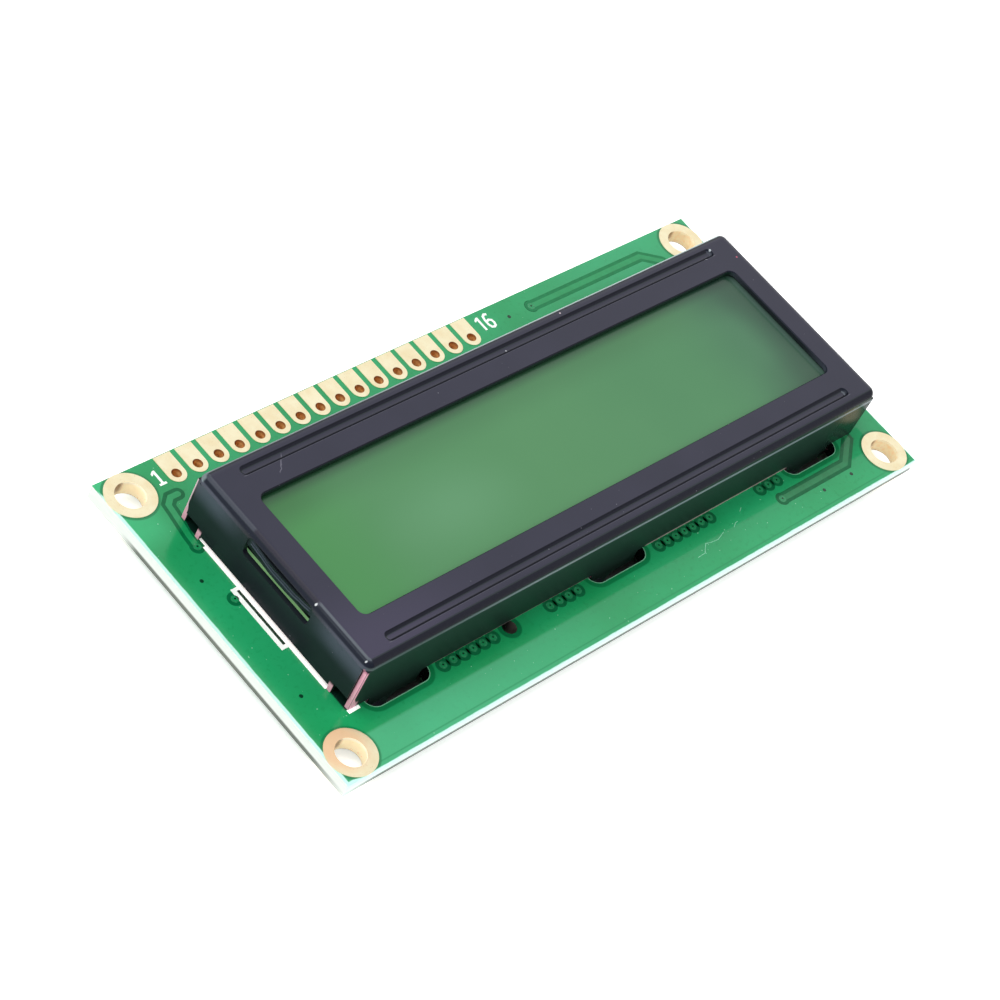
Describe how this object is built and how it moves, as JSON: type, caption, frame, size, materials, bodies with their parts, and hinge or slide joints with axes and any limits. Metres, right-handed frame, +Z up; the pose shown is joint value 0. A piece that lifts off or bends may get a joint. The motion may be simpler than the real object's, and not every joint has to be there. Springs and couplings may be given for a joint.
{
  "type": "character lcd module",
  "caption": "Green circuit board carrying a dot-character liquid crystal display in a folded black metal bezel, with a row of plated connection holes and corner fixing holes.",
  "frame": {"origin": "under the middle of the circuit board, level with the tips of the six twisted bezel tabs it stands on", "axes": "+Z up out of the viewing window, +X along the board away from pin 1, +Y towards the connection row"},
  "size_m": [0.08, 0.036, 0.0095],
  "materials": {
    "board_laminate": "glossy green mask over pale laminate",
    "pad_gold": "satin gold plating over copper",
    "bezel_paint": "satin near-black paint, bare at the cut edges",
    "pane_glass": "polished",
    "polariser_film": "smooth film, yellow-green over the unlit cell",
    "rear_film": "transflective film",
    "seal_resin": "thin cured resin line",
    "connector_rubber": "layered conductive rubber",
    "guide_acrylic": "green tinted clear acrylic",
    "white_film": "white film",
    "frame_plastic": "moulded black plastic",
    "led_body": "moulded light source",
    "tinned_wire": "tinned wire",
    "solder": "bright solder",
    "epoxy": "poured black epoxy",
    "resistor_ceramic": "black coated ceramic",
    "capacitor_ceramic": "tan ceramic",
    "chip_metal": "tinned ends"
  },
  "bodies": {
    "root": {"circuit_board": "board_laminate", "contact_fingers": "pad_gold", "bezel": "bezel_paint", "front_glass": "pane_glass", "rear_glass": "pane_glass", "front_polariser": "polariser_film", "rear_polariser": "rear_film", "cell_seal": "seal_resin", "front_connector_strip": "connector_rubber", "rear_connector_strip": "connector_rubber", "light_guide": "guide_acrylic", "reflector_film": "white_film", "diffuser_film": "white_film", "backlight_frame": "frame_plastic", "led_board": "board_laminate", "side_leds": "led_body", "backlight_leads": "tinned_wire", "lead_solder_joints": "solder", "controller_blob": "epoxy", "driver_blob": "epoxy", "chip_resistors": "resistor_ceramic", "resistor_terminals": "chip_metal", "chip_capacitors": "capacitor_ceramic", "capacitor_terminals": "chip_metal"}
  },
  "joints": []
}
